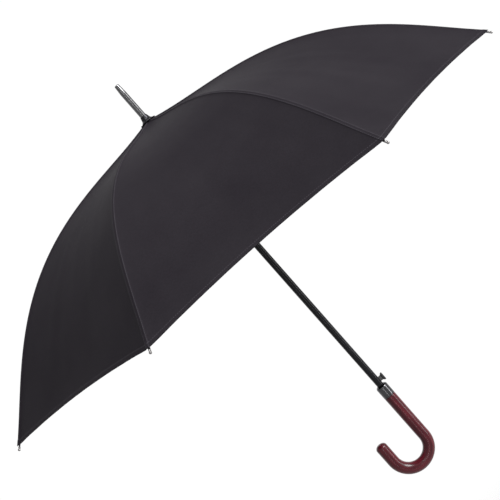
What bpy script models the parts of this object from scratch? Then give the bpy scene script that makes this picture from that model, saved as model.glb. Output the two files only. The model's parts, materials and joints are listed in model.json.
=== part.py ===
"""Self-opening stick umbrella: eight ribs, steel shaft, push button and crook handle.

Metres, +Z up. The shaft runs along Z with the canopy at the top. The origin is on the
shaft's axis in the middle of the straight grip. +X is the side of the push button, and the
crook curls back towards -X, half way between two ribs.
"""
import math

import bmesh
import bpy
import numpy as np
from mathutils import Matrix, Vector

# ---- driving dimensions ---------------------------------------------------------------
RIBS = 8
STEP = 2 * math.pi / RIBS
GAP = 0.0003                    # clearance between neighbouring pieces

CROWN_Z = 0.663                 # apex of the cloth on the shaft's axis
CLOTH_LENGTH = 0.5835           # along the cloth, from the apex to a rib tip
SLOPES = (16.3, 13.5, 36.9, 44.3)   # degrees below level at 0, 1/3, 2/3 and all of that way
CLOTH = 0.0006                  # thickness of the cloth's solid
CLOTH_HOLE = 0.0073             # radius of the hole at the apex, on a rib
HEM_CUT = 0.017                 # share by which a gore is shorter along its middle
SAG = 0.007                     # how far a gore's middle hangs inside its chord

SHAFT_R = 0.0060
SHAFT_WALL = 0.0008
SHAFT_TOP = CROWN_Z + 0.0010
SHAFT_BOTTOM = 0.0060

FERRULE_R = 0.0055
FERRULE_TIP_R = 0.0043
FERRULE_TOP = CROWN_Z + 0.0770
FERRULE_TAPER = 0.017
SPIGOT = 0.024                  # how far the ferrule reaches into the shaft

CAP_TOP = CROWN_Z + 0.0100
CAP_R = 0.0112
ROSETTE_R = 0.0148

HINGE_R = 0.0096                # ring of hinges in the notch and in the runner
NOTCH_R = 0.0120
NOTCH_H = 0.0044                # short below the hinges, so that the folded ribs clear it
SLOT_FLOOR = 0.0074
SLOT_W = 0.0019
WIRE_R = 0.0005
EYE_R = 0.0019

RIB_DROP = 0.0034               # rib centreline below the cloth's outer face
TIP_DROP = 0.0022
ROD_A = 0.0015                  # half width of a rib across its plane
ROD_B = 0.0013                  # half height of a rib in its plane
TAB_A = 0.0006                  # half thickness of a flattened eye
CLIP_SHARE = 0.46               # where the stretcher meets the rib, as a share of the cloth
CLIP_A = 0.0017
CLIP_B = 0.0021
EAR_GAP = 0.0009                # half gap between the clip's two ears
FORK_A = 0.0029                 # half width over the stretcher's fork
FORK_GAP = 0.0020
FORK_LENGTH = 0.0135
PIN_R = 0.0008

BEAD_R = 0.0021
BEAD_LENGTH = 0.0070
PEG_R = 0.0008
PEG_LENGTH = 0.0045

RUNNER_R = SLOT_FLOOR
RUNNER_LENGTH = 0.050
RUNNER_HEAD = 0.0090

SPRING_R = 0.0075
SPRING_WIRE = 0.0005
SPRING_TURNS = 11

COLLAR_TOP = 0.0690
COLLAR_BOTTOM = 0.0460
COLLAR_R = 0.0107
HANDLE_R = 0.0105
HANDLE_TOP = COLLAR_BOTTOM - GAP
CROOK_Z = -0.0446               # where the straight grip turns into the crook
CROOK_R = 0.0346                # radius of the crook's centreline
CROOK_END = -0.0066             # top of the crook's free end
DOME = 0.0075

BUTTON_Z = 0.0782
BUTTON_FACE = 0.0152            # the pressed face's distance from the axis
BUTTON_L = 0.0142
BUTTON_W = 0.0070
NECK_L = 0.0088
NECK_W = 0.0040
FLARE_X = 0.0099                # where the stem starts to widen towards the face
FOOT_X = 0.0014                 # where the button's stem ends inside the shaft
BUTTON_COIL_R = 0.0016
BUTTON_WIRE = 0.00025
BUTTON_TURNS = 4


# ---- the cloth's curve and the ribs' geometry --------------------------------------------
SLOPE_CUBIC = np.polyfit((0, 1 / 3, 2 / 3, 1), np.radians(SLOPES), 3)
STATIONS = np.linspace(0, 1, 401)


def curve_table():
    """Distance out and down along the cloth, summed from its slope."""
    angle = np.polyval(SLOPE_CUBIC, (STATIONS[1:] + STATIONS[:-1]) / 2)
    ds = CLOTH_LENGTH / (len(STATIONS) - 1)
    out = np.concatenate([[0], np.cumsum(np.cos(angle)) * ds])
    down = np.concatenate([[0], np.cumsum(np.sin(angle)) * ds])
    return out, down


OUT, DOWN = curve_table()


def slope(t):
    return float(np.polyval(SLOPE_CUBIC, t))


def cloth_point(t):
    """(radius, height) on the cloth above a rib, t of the way from the apex to the tip."""
    return np.array((np.interp(t, STATIONS, OUT), CROWN_Z - np.interp(t, STATIONS, DOWN)))


def rib_point(t):
    """(radius, height) on a rib's centreline, under the cloth."""
    drop = RIB_DROP - (RIB_DROP - TIP_DROP) * t ** 4
    a = slope(t)
    return cloth_point(t) - drop * np.array((math.sin(a), math.cos(a)))


def share_at_radius(radius):
    shares = np.linspace(0, 0.2, 2001)
    radii = [rib_point(t)[0] for t in shares]
    return float(np.interp(radius, radii, shares))


ROOT_SHARE = share_at_radius(HINGE_R)
NOTCH_HINGE = rib_point(ROOT_SHARE)
CLIP = rib_point(CLIP_SHARE)
ARM = float(np.linalg.norm(CLIP - NOTCH_HINGE))      # notch hinge to clip = stretcher's length
RUNNER_HINGE = np.array((HINGE_R, 2 * CLIP[1] - NOTCH_HINGE[1]))
RIB_END = rib_point(1.0)


def direction(start, end):
    d = np.array(end) - np.array(start)
    return d / np.linalg.norm(d)


# ---- scene helpers ------------------------------------------------------------------------
def clear_scene():
    for obj in list(bpy.data.objects):
        bpy.data.objects.remove(obj, do_unlink=True)


def material(name, colour, roughness, metallic=0.0):
    mat = bpy.data.materials.new(name)
    mat.use_nodes = True
    shader = mat.node_tree.nodes["Principled BSDF"]
    shader.inputs["Base Color"].default_value = (*colour, 1)
    shader.inputs["Roughness"].default_value = roughness
    shader.inputs["Metallic"].default_value = metallic
    mat.diffuse_color = (*colour, 1)
    return mat


def new_object(name, data, mat=None, collection=None):
    obj = bpy.data.objects.new(name, data)
    (collection or PARTS).objects.link(obj)
    if mat:
        data.materials.append(mat)
    return obj


def smooth(mesh, angle=40):
    mesh.shade_smooth()
    mesh.set_sharp_from_angle(angle=math.radians(angle))


def baked(obj, cutters=()):
    """The object's evaluated mesh in its own frame; the object and its cutters go."""
    bpy.context.view_layer.update()
    mesh = bpy.data.meshes.new_from_object(obj.evaluated_get(bpy.context.evaluated_depsgraph_get()))
    for item in (obj, *cutters):
        bpy.data.objects.remove(item, do_unlink=True)
    return mesh


def boolean(obj, cutter, operation="DIFFERENCE"):
    mod = obj.modifiers.new(operation.lower(), "BOOLEAN")
    mod.operation = operation
    mod.solver = "EXACT"
    mod.object = cutter


def cutter_object(name, bm):
    mesh = bpy.data.meshes.new(name)
    bm.to_mesh(mesh)
    bm.free()
    obj = new_object(name, mesh, collection=CUTTERS)
    obj.display_type = "WIRE"
    obj.hide_render = True
    return obj


def box_cutter(name, low, high):
    bm = bmesh.new()
    size = Vector(high) - Vector(low)
    centre = (Vector(high) + Vector(low)) / 2
    bmesh.ops.create_cube(bm, size=1, matrix=Matrix.Translation(centre) @ Matrix.Diagonal((*size, 1)))
    return cutter_object(name, bm)


def cylinder_cutter(name, centre, axis, radius, length, sides=8):
    bm = bmesh.new()
    turn = Vector((0, 0, 1)).rotation_difference(Vector(axis)).to_matrix().to_4x4()
    bmesh.ops.create_cone(bm, cap_ends=True, segments=sides, radius1=radius, radius2=radius,
                          depth=length, matrix=Matrix.Translation(centre) @ turn)
    return cutter_object(name, bm)


def turned(name, outline, mat, sides=20, closed=False):
    """Screw an outline of (radius, height) points round Z, down the outer side first."""
    mesh = bpy.data.meshes.new(name)
    edges = [(i, i + 1) for i in range(len(outline) - 1)]
    if closed:
        edges.append((len(outline) - 1, 0))
    mesh.from_pydata([(r, 0, z) for r, z in outline], edges, [])
    obj = new_object(name, mesh, mat)
    mod = obj.modifiers.new("turn", "SCREW")
    mod.steps = sides
    mod.render_steps = sides
    mod.use_merge_vertices = True
    mod.merge_threshold = 0.00001
    mod.use_smooth_shade = False
    return obj


def tube_curve(name, points, radius, resolution=2, radii=None):
    """A round bar along points, with filled ends."""
    curve = bpy.data.curves.new(name, "CURVE")
    curve.dimensions = "3D"
    curve.bevel_depth = radius
    curve.bevel_resolution = resolution
    curve.use_fill_caps = True
    spline = curve.splines.new("POLY")
    spline.points.add(len(points) - 1)
    for i, (point, co) in enumerate(zip(spline.points, points)):
        point.co = (*co, 1)
        point.radius = radii[i] if radii else 1
    return curve


def curve_mesh(name, curve):
    """The curve as one closed mesh, its caps welded."""
    mesh = baked(new_object(name, curve))
    bm = bmesh.new()
    bm.from_mesh(mesh)
    bmesh.ops.remove_doubles(bm, verts=bm.verts, dist=0.000001)
    bm.to_mesh(mesh)
    bm.free()
    return mesh


def loft(name, sections, sides=6):
    """A bar through sections of (radius, height, slope down, half width, half height)."""
    bm = bmesh.new()
    rings = []
    for r, z, down, a, b in sections:
        up = Vector((math.sin(down), 0, math.cos(down)))
        ring = []
        for k in range(sides):
            turn = 2 * math.pi * (k + 0.5) / sides
            across = a * math.cos(turn) / math.cos(math.pi / sides)
            offset = Vector((0, across, 0)) + up * (b * math.sin(turn))
            ring.append(bm.verts.new(Vector((r, 0, z)) + offset))
        rings.append(ring)
    for near, far in zip(rings, rings[1:]):
        for k in range(sides):
            bm.faces.new((near[k], near[(k + 1) % sides], far[(k + 1) % sides], far[k]))
    bm.faces.new(reversed(rings[0]))
    bm.faces.new(rings[-1])
    bmesh.ops.recalc_face_normals(bm, faces=bm.faces)
    mesh = bpy.data.meshes.new(name)
    bm.to_mesh(mesh)
    bm.free()
    return mesh


def shifted(mesh, origin):
    """Move the mesh so that (radius, height) origin becomes its own origin."""
    mesh.transform(Matrix.Translation((-origin[0], 0, -origin[1])))
    return mesh


def ring_of(name, mesh, origin, mat):
    """One copy of the mesh on each rib's plane, its origin on its hinge."""
    mesh.materials.clear()
    mesh.materials.append(mat)
    smooth(mesh)
    for i in range(RIBS):
        azimuth = STEP * (i + 0.5)
        obj = new_object(f"{name}_{i + 1}", mesh)
        obj.location = (origin[0] * math.cos(azimuth), origin[0] * math.sin(azimuth), origin[1])
        obj.rotation_euler.z = azimuth


def eye_sections(centre, down, outward, reach):
    """A flat round eye round centre that grows out of a bar on the outward side."""
    rows = []
    for along, share in ((-1.0, 0.45), (-0.5, 1.0), (0.5, 1.0), (1.0, 0.75)):
        rows.append((along * EYE_R, TAB_A, EYE_R * share))
    rows.append((reach, ROD_A, ROD_B))
    step = np.array((math.cos(down), -math.sin(down))) * outward
    return [(*(np.array(centre) + step * along), down, a, b) for along, a, b in rows]


# ---- shaft, ferrule and crown ----------------------------------------------------------------
def make_shaft(mat):
    inner = SHAFT_R - SHAFT_WALL
    outline = [(SHAFT_R, SHAFT_TOP), (SHAFT_R, SHAFT_BOTTOM), (inner, SHAFT_BOTTOM), (inner, SHAFT_TOP)]
    shaft = turned("shaft_tube", outline, mat, closed=True)
    window = box_cutter(
        "button_window",
        (0, -NECK_W / 2 - GAP, BUTTON_Z - NECK_L / 2 - GAP),
        (2 * SHAFT_R, NECK_W / 2 + GAP, BUTTON_Z + NECK_L / 2 + GAP),
    )
    boolean(shaft, window)


def make_ferrule(mat):
    top = FERRULE_TOP
    base = SHAFT_TOP + GAP
    spigot_r = SHAFT_R - SHAFT_WALL - GAP
    outline = [
        (0, top), (FERRULE_TIP_R - 0.0008, top), (FERRULE_TIP_R - 0.0002, top - 0.0003),
        (FERRULE_TIP_R, top - 0.0012), (FERRULE_R, top - FERRULE_TAPER), (FERRULE_R, base),
        (spigot_r, base), (spigot_r, base - SPIGOT), (0, base - SPIGOT),
    ]
    turned("ferrule", outline, mat)


def cloth_height(radius):
    """Height of the cloth's outer face above a rib at a small radius."""
    return CROWN_Z - float(np.interp(radius, OUT, DOWN))


def make_crown(cap_mat, rosette_mat):
    bore = SHAFT_R + GAP
    lift = 0.0005
    top_thick = 0.0010
    rosette = [
        (ROSETTE_R - 0.0004, cloth_height(ROSETTE_R) + lift + top_thick),
        (ROSETTE_R, cloth_height(ROSETTE_R) + lift + top_thick / 2),
        (ROSETTE_R - 0.0002, cloth_height(ROSETTE_R) + lift),
        (bore, cloth_height(bore) + lift),
        (bore, cloth_height(bore) + lift + top_thick),
    ]
    turned("rosette", rosette, rosette_mat, closed=True)
    foot = lift + top_thick + GAP
    cap = [
        (FERRULE_R + 0.0009, CAP_TOP), (CAP_R - 0.0016, cloth_height(CAP_R) + foot + 0.0024),
        (CAP_R, cloth_height(CAP_R) + foot + 0.0006), (CAP_R, cloth_height(CAP_R) + foot),
        (bore, cloth_height(bore) + foot), (bore, SHAFT_TOP + GAP), (FERRULE_R + GAP, SHAFT_TOP + 0.0014),
        (FERRULE_R + GAP, CAP_TOP),
    ]
    turned("crown_cap", cap, cap_mat, closed=True)


def slotted_head(name, outline, hinge_z, head_top, head_bottom, mat, wire_groove):
    """A turned body whose head has one radial slot for each rib or stretcher."""
    obj = turned(name, outline, mat, sides=24, closed=True)
    bm = bmesh.new()
    for i in range(RIBS):
        azimuth = STEP * (i + 0.5)
        size = Matrix.Diagonal((NOTCH_R, SLOT_W, head_top - head_bottom + 0.002, 1))
        centre = Vector((SLOT_FLOOR + NOTCH_R / 2, 0, (head_top + head_bottom) / 2))
        turn = Matrix.Rotation(azimuth, 4, "Z")
        bmesh.ops.create_cube(bm, size=1, matrix=turn @ Matrix.Translation(centre) @ size)
    slots = cutter_object(f"{name}_slots", bm)
    boolean(obj, slots)
    if wire_groove:
        groove = torus_mesh(f"{name}_groove", HINGE_R, WIRE_R + GAP, hinge_z)
        ring = new_object(f"{name}_groove", groove, collection=CUTTERS)
        ring.display_type = "WIRE"
        ring.hide_render = True
        boolean(obj, ring)
    return obj


def torus_mesh(name, major, minor, height, around=24, across=6):
    """A ring of round wire."""
    bpy.ops.mesh.primitive_torus_add(major_radius=major, minor_radius=minor, major_segments=around,
                                     minor_segments=across, location=(0, 0, 0))
    made = bpy.context.object
    mesh = made.data.copy()
    mesh.name = name
    bpy.data.objects.remove(made, do_unlink=True)
    mesh.transform(Matrix.Translation((0, 0, height)))
    return mesh


def make_notch(mat, wire_mat):
    top = NOTCH_HINGE[1] + 0.0016
    bottom = top - NOTCH_H
    bore = SHAFT_R + GAP
    outline = [
        (bore + 0.0012, top), (NOTCH_R - 0.0006, top - 0.0006), (NOTCH_R, top - 0.0012),
        (NOTCH_R, bottom + 0.0006), (NOTCH_R - 0.0006, bottom), (bore, bottom), (bore, top),
    ]
    slotted_head("top_notch", outline, NOTCH_HINGE[1], top, bottom, mat, True)
    wire = torus_mesh("notch_wire", HINGE_R, WIRE_R, NOTCH_HINGE[1])
    smooth(wire)
    new_object("notch_wire", wire, wire_mat)
    return bottom


def make_runner(mat):
    top = RUNNER_HINGE[1] + RUNNER_HEAD / 2
    bottom = top - RUNNER_HEAD
    foot = RUNNER_HINGE[1] - RUNNER_LENGTH
    bore = SHAFT_R + GAP
    outline = [
        (NOTCH_R - 0.0006, top), (NOTCH_R, top - 0.0006), (NOTCH_R, bottom + 0.0006),
        (NOTCH_R - 0.0006, bottom), (RUNNER_R, bottom), (RUNNER_R, foot + 0.0005),
        (RUNNER_R - 0.0004, foot), (bore, foot), (bore, top),
    ]
    obj = slotted_head("runner", outline, RUNNER_HINGE[1], top, bottom, mat, False)
    obj.data.transform(Matrix.Translation((0, 0, -RUNNER_HINGE[1])))
    obj.location.z = RUNNER_HINGE[1]
    return top


def coil_points(centre, axis, radius, start, end, turns, per_turn=6):
    """Points of a helix round an axis (2 for Z, 0 for X), from start to end along it."""
    points = []
    count = turns * per_turn + 1
    for i in range(count):
        turn = 2 * math.pi * i / per_turn
        along = start + (end - start) * i / (count - 1)
        side, up = radius * math.cos(turn), radius * math.sin(turn)
        if axis == 2:
            points.append((centre[0] + side, centre[1] + up, along))
        else:
            points.append((along, centre[1] + side, centre[2] + up))
    return points


def make_opening_spring(mat, notch_bottom, runner_top):
    high = notch_bottom - SPRING_WIRE - GAP
    low = runner_top + SPRING_WIRE + GAP
    points = coil_points((0, 0, 0), 2, SPRING_R, high, low, SPRING_TURNS)
    mesh = curve_mesh("opening_spring", tube_curve("opening_spring", points, SPRING_WIRE, 1))
    smooth(mesh)
    new_object("opening_spring", mesh, mat)


# ---- ribs, stretchers and tips ---------------------------------------------------------------
def rib_sections(first, last, count):
    """Plain bar sections along the rib between two shares of the cloth's length."""
    rows = []
    for t in np.linspace(first, last, count):
        rows.append((*rib_point(t), slope(t), ROD_A, ROD_B))
    return rows


def make_inner_ribs(mat):
    down = slope(ROOT_SHARE)
    sections = eye_sections(NOTCH_HINGE, down, 1, 0.0052)
    clip_down = slope(CLIP_SHARE)
    sections += rib_sections(ROOT_SHARE + 0.03, CLIP_SHARE - 0.020, 7)
    step = np.array((math.cos(clip_down), -math.sin(clip_down)))
    for along, share in ((-0.0070, 0.8), (-0.0038, 1.0), (0.0008, 1.0), (0.0021, 0.5)):
        sections.append((*(CLIP + step * along), clip_down, CLIP_A, CLIP_B * share))
    bar = new_object("inner_rib", loft("inner_rib", sections))
    ear_slot = box_cutter("ear_slot", (-0.0036, -EAR_GAP, -0.01), (0.01, EAR_GAP, 0.01))
    ear_slot.location = (CLIP[0], 0, CLIP[1])
    ear_slot.rotation_euler.y = clip_down
    boolean(bar, ear_slot)
    hinge_hole = cylinder_cutter("hinge_hole", (NOTCH_HINGE[0], 0, NOTCH_HINGE[1]), (0, 1, 0),
                                 WIRE_R + GAP, 0.01)
    boolean(bar, hinge_hole)
    pin = cylinder_cutter("clip_pin", (CLIP[0], 0, CLIP[1]), (0, 1, 0), PIN_R, 2 * FORK_A + 0.0008)
    boolean(bar, pin, "UNION")
    mesh = baked(bar, (ear_slot, hinge_hole, pin))
    ring_of("rib_inner", shifted(mesh, NOTCH_HINGE), NOTCH_HINGE, mat)


def make_outer_ribs(mat):
    down = slope(CLIP_SHARE)
    step = np.array((math.cos(down), -math.sin(down)))
    sections = []
    for along, share in ((-0.0020, 0.45), (-0.0010, 1.0), (0.0010, 1.0), (0.0026, 0.8)):
        sections.append((*(CLIP + step * along), down, TAB_A, CLIP_B * share))
    sections += rib_sections(CLIP_SHARE + 0.012, 0.988, 10)
    end_down = slope(1.0)
    step = np.array((math.cos(end_down), -math.sin(end_down)))
    sections.append((*RIB_END, end_down, ROD_A, ROD_B))
    sections.append((*(RIB_END + step * 0.0002), end_down, PEG_R, PEG_R))
    sections.append((*(RIB_END + step * PEG_LENGTH), end_down, PEG_R, PEG_R))
    bar = new_object("outer_rib", loft("outer_rib", sections))
    pin_hole = cylinder_cutter("pin_hole", (CLIP[0], 0, CLIP[1]), (0, 1, 0), PIN_R + GAP, 0.01)
    boolean(bar, pin_hole)
    mesh = baked(bar, (pin_hole,))
    ring_of("rib_outer", shifted(mesh, CLIP), CLIP, mat)


def make_stretchers(mat):
    toward = direction(CLIP, RUNNER_HINGE)
    down = math.atan2(-toward[1], toward[0])
    rows = [(-0.0021, FORK_A, 0.0010), (-0.0008, FORK_A, 0.0020), (0.0010, FORK_A, 0.0020),
            (FORK_LENGTH, FORK_A, 0.0016), (FORK_LENGTH + 0.004, ROD_A, ROD_B), (ARM / 2, ROD_A, ROD_B),
            (ARM - 0.0084, ROD_A, ROD_B), (ARM - 0.0052, TAB_A, 0.0014), (ARM - 0.0008, TAB_A, 0.0018),
            (ARM + 0.0008, TAB_A, 0.0018), (ARM + 0.0018, TAB_A, 0.0008)]
    sections = [(*(CLIP + toward * along), down, a, b) for along, a, b in rows]
    bar = new_object("stretcher", loft("stretcher", sections))
    fork_slot = box_cutter("fork_slot", (-0.006, -FORK_GAP, -0.01), (FORK_LENGTH, FORK_GAP, 0.01))
    fork_slot.location = (CLIP[0], 0, CLIP[1])
    fork_slot.rotation_euler.y = down
    boolean(bar, fork_slot)
    pin_hole = cylinder_cutter("fork_hole", (CLIP[0], 0, CLIP[1]), (0, 1, 0), PIN_R + GAP, 0.01)
    boolean(bar, pin_hole)
    mesh = baked(bar, (fork_slot, pin_hole))
    ring_of("stretcher", shifted(mesh, CLIP), CLIP, mat)


def make_tips(mat):
    """A small turned bead pressed over the peg at each rib's end."""
    bore = PEG_R + 2 * GAP
    depth = PEG_LENGTH + 2 * GAP
    low = 0.0005
    outline = [
        (0, BEAD_LENGTH), (BEAD_R * 0.55, BEAD_LENGTH - 0.0003),
        (BEAD_R * 0.9, BEAD_LENGTH - 0.0011), (BEAD_R, BEAD_LENGTH - 0.0021),
        (BEAD_R * 0.85, BEAD_LENGTH - 0.0036), (bore + 0.0004, low + 0.0006),
        (bore + 0.0004, low), (bore, low), (bore, depth), (0, depth),
    ]
    mesh = baked(turned("tip", outline, mat, sides=8))
    down = slope(1.0)
    mesh.transform(Matrix.Rotation(math.pi / 2 + down, 4, "Y"))
    ring_of("rib_tip", mesh, RIB_END, mat)


# ---- canopy ---------------------------------------------------------------------------------
def gore_point(t, across):
    """A point of the gore between the rib on +X and the next one; across runs 0 to 1."""
    middle = 4 * across * (1 - across)
    share = t * (1 - HEM_CUT * middle * t ** 3)
    r, z = cloth_point(share)
    left = Vector((r, 0, z))
    right = Vector((r * math.cos(STEP), r * math.sin(STEP), z))
    a = slope(share)
    inward = Vector((-math.sin(a) * math.cos(STEP / 2), -math.sin(a) * math.sin(STEP / 2), -math.cos(a)))
    hang = SAG * middle * math.sin(math.pi * min(t, 0.999) ** 1.2) ** 0.6
    return left.lerp(right, across) + inward * hang


def make_gores(mat, rows=17, columns=4):
    first = float(np.interp(CLOTH_HOLE, OUT, STATIONS))
    seam = 0.0004
    bm = bmesh.new()
    grid = []
    for t in np.linspace(first, 1, rows):
        width = 2 * cloth_point(t)[0] * math.sin(STEP / 2)
        edge = seam / width
        row = [bm.verts.new(gore_point(t, edge + (1 - 2 * edge) * k / columns)) for k in range(columns + 1)]
        grid.append(row)
    for near, far in zip(grid, grid[1:]):
        for k in range(columns):
            bm.faces.new((near[k], far[k], far[k + 1], near[k + 1]))
    mesh = bpy.data.meshes.new("gore")
    bm.to_mesh(mesh)
    bm.free()
    sheet = new_object("gore", mesh)
    mod = sheet.modifiers.new("thickness", "SOLIDIFY")
    mod.thickness = CLOTH
    mod.offset = -1
    mesh = baked(sheet)
    ring_of("gore", shifted(mesh, NOTCH_HINGE), NOTCH_HINGE, mat)


# ---- button, collar and handle -----------------------------------------------------------------
def make_button(mat, spring_mat):
    """A stem that ends inside the shaft, with a flared, rounded face outside."""
    face = BUTTON_FACE
    rows = [
        (FOOT_X, NECK_L / 2, NECK_W / 2), (FLARE_X, NECK_L / 2, NECK_W / 2),
        (face - 0.0024, BUTTON_L / 2, BUTTON_W / 2), (face - 0.0006, BUTTON_L / 2, BUTTON_W / 2),
        (face, BUTTON_L / 2 - 0.0008, BUTTON_W / 2 - 0.0008),
    ]
    bm = bmesh.new()
    rings = []
    for x, half_z, half_y in rows:
        ring = []
        for k in range(16):
            turn = 2 * math.pi * (k + 0.5) / 16
            cy, cz = math.cos(turn), math.sin(turn)
            power = 0.45
            y = half_y * math.copysign(abs(cy) ** power, cy)
            z = half_z * math.copysign(abs(cz) ** power, cz)
            ring.append(bm.verts.new((x, y, z)))
        rings.append(ring)
    for near, far in zip(rings, rings[1:]):
        for k in range(16):
            bm.faces.new((near[k], near[(k + 1) % 16], far[(k + 1) % 16], far[k]))
    bm.faces.new(reversed(rings[0]))
    bm.faces.new(rings[-1])
    bmesh.ops.recalc_face_normals(bm, faces=bm.faces)
    mesh = bpy.data.meshes.new("button")
    bm.to_mesh(mesh)
    bm.free()
    smooth(mesh)
    button = new_object("button", mesh, mat)
    button.location.z = BUTTON_Z
    far_wall = -(SHAFT_R - SHAFT_WALL) + GAP + BUTTON_WIRE + 0.0002
    near_end = FOOT_X - GAP - BUTTON_WIRE
    points = coil_points((0, 0, BUTTON_Z), 0, BUTTON_COIL_R, near_end, far_wall, BUTTON_TURNS)
    coil = curve_mesh("button_spring", tube_curve("button_spring", points, BUTTON_WIRE, 1))
    smooth(coil)
    new_object("button_spring", coil, spring_mat)


def make_collar(mat):
    bore = SHAFT_R + GAP
    outline = [
        (bore + 0.0010, COLLAR_TOP), (COLLAR_R - 0.0024, COLLAR_TOP),
        (COLLAR_R - 0.0009, COLLAR_TOP - 0.0006), (COLLAR_R, COLLAR_TOP - 0.0022),
        (COLLAR_R, COLLAR_BOTTOM + 0.0008),
        (COLLAR_R - 0.0004, COLLAR_BOTTOM), (bore, COLLAR_BOTTOM), (bore, COLLAR_TOP - 0.0006),
    ]
    turned("collar", outline, mat, closed=True)


def make_handle(mat):
    """A bar bent into a crook, drilled for the shaft."""
    points = [(0, 0, HANDLE_TOP), (0, 0, HANDLE_TOP - 0.0008), (0, 0, (HANDLE_TOP + CROOK_Z) / 2)]
    radii = [0.97, 1, 1]
    bends = 16
    for k in range(bends + 1):
        turn = math.pi * k / bends
        points.append((-CROOK_R + CROOK_R * math.cos(turn), 0, CROOK_Z - CROOK_R * math.sin(turn)))
        radii.append(1)
    caps = 5
    last = math.radians(78)
    for k in range(caps + 1):
        turn = last * k / caps
        height = CROOK_END - DOME + DOME * math.sin(turn) / math.sin(last)
        points.append((-2 * CROOK_R, 0, height))
        radii.append(math.cos(turn))
    mesh = curve_mesh("handle", tube_curve("handle", points, HANDLE_R, 5, radii))
    smooth(mesh)
    handle = new_object("handle", mesh, mat)
    depth = HANDLE_TOP - SHAFT_BOTTOM + GAP
    socket = cylinder_cutter("shaft_socket", (0, 0, HANDLE_TOP - depth / 2 + 0.005), (0, 0, 1),
                             SHAFT_R + GAP, depth + 0.010, 24)
    boolean(handle, socket)


def main():
    steel = material("plated_steel", (0.42, 0.42, 0.43), 0.35, 1.0)
    spring_steel = material("spring_steel", (0.50, 0.50, 0.52), 0.30, 1.0)
    chrome = material("chrome", (0.75, 0.75, 0.77), 0.12, 1.0)
    black_metal = material("black_lacquer", (0.012, 0.012, 0.014), 0.22, 0.4)
    plastic = material("black_plastic", (0.02, 0.02, 0.022), 0.38)
    cap_mat = material("cap_grey", (0.10, 0.10, 0.11), 0.35, 0.6)
    cloth = material("canopy_cloth", (0.030, 0.027, 0.032), 0.85)
    wood = material("handle_wood", (0.13, 0.020, 0.030), 0.30)

    make_shaft(black_metal)
    make_ferrule(chrome)
    make_crown(cap_mat, cloth)
    notch_bottom = make_notch(plastic, spring_steel)
    runner_top = make_runner(plastic)
    make_opening_spring(spring_steel, notch_bottom, runner_top)
    make_inner_ribs(steel)
    make_outer_ribs(steel)
    make_stretchers(steel)
    make_tips(chrome)
    make_gores(cloth)
    make_button(plastic, spring_steel)
    make_collar(chrome)
    make_handle(wood)


clear_scene()
PARTS = bpy.data.collections.new("stick_umbrella")
CUTTERS = bpy.data.collections.new("cutters")
for group in (PARTS, CUTTERS):
    bpy.context.scene.collection.children.link(group)
main()
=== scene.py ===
"""Looks of a self-opening stick umbrella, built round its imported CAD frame."""
import json
import math

import bmesh
import bpy
import numpy as np
from mathutils import Matrix, Quaternion, Vector


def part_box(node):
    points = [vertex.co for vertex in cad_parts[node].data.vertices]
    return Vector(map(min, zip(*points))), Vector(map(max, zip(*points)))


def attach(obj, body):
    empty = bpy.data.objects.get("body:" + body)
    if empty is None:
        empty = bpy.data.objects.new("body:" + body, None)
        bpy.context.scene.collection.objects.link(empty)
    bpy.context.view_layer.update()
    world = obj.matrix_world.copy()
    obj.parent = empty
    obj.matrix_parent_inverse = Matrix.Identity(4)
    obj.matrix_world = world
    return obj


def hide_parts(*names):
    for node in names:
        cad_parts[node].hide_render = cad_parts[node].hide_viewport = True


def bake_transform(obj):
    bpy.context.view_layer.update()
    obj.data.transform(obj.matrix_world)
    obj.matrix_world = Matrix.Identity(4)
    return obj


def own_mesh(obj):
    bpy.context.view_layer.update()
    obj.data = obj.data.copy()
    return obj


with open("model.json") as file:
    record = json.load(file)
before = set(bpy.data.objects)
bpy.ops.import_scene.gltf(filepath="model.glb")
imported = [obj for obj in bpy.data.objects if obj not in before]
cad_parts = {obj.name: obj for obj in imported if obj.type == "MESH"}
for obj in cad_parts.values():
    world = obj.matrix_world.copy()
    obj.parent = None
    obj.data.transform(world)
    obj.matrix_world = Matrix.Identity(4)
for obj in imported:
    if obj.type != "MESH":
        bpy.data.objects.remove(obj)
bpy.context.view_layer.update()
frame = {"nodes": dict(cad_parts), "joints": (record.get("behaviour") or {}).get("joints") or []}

# ---- places, from the frame and from the driving dimensions of the CAD -------------------
RIBS = 8
STEP = 2 * math.pi / RIBS
CROWN_Z = 0.663                  # the cloth's apex on the shaft's axis
CLOTH_LENGTH = 0.5835            # along the cloth, from the apex to a rib's tip
SLOPES = (16.3, 13.5, 36.9, 44.3)   # degrees below level at 0, 1/3, 2/3 and all of that way
CLOTH_HOLE = 0.0073              # radius of the hole at the apex
HEM_CUT = 0.017                  # share by which a gore is shorter along its middle
SAG = 0.007                      # how far a gore's middle hangs inside its chord
CLOTH = 0.0005                   # thickness of the cloth

JOINTS = {joint["name"]: joint for joint in frame["joints"]}


def ring_place(joint):
    """(radius, height) of a hinge that stands on one of the ribs' planes."""
    x, y, z = JOINTS[joint]["pos_m"]
    return math.hypot(x, y), z


CLIP = ring_place("rib_flex_1")


# ---- the cloth's surface -------------------------------------------------------------------
SLOPE_CUBIC = np.polyfit((0, 1 / 3, 2 / 3, 1), np.radians(SLOPES), 3)
STATIONS = np.linspace(0, 1, 1201)
MIDDLES = (STATIONS[1:] + STATIONS[:-1]) / 2
SPAN = CLOTH_LENGTH / (len(STATIONS) - 1)
OUT = np.concatenate([[0], np.cumsum(np.cos(np.polyval(SLOPE_CUBIC, MIDDLES))) * SPAN])
DOWN = np.concatenate([[0], np.cumsum(np.sin(np.polyval(SLOPE_CUBIC, MIDDLES))) * SPAN])


def smooth_step(value, low, high):
    share = np.clip((value - low) / (high - low), 0, 1)
    return share * share * (3 - 2 * share)


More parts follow.
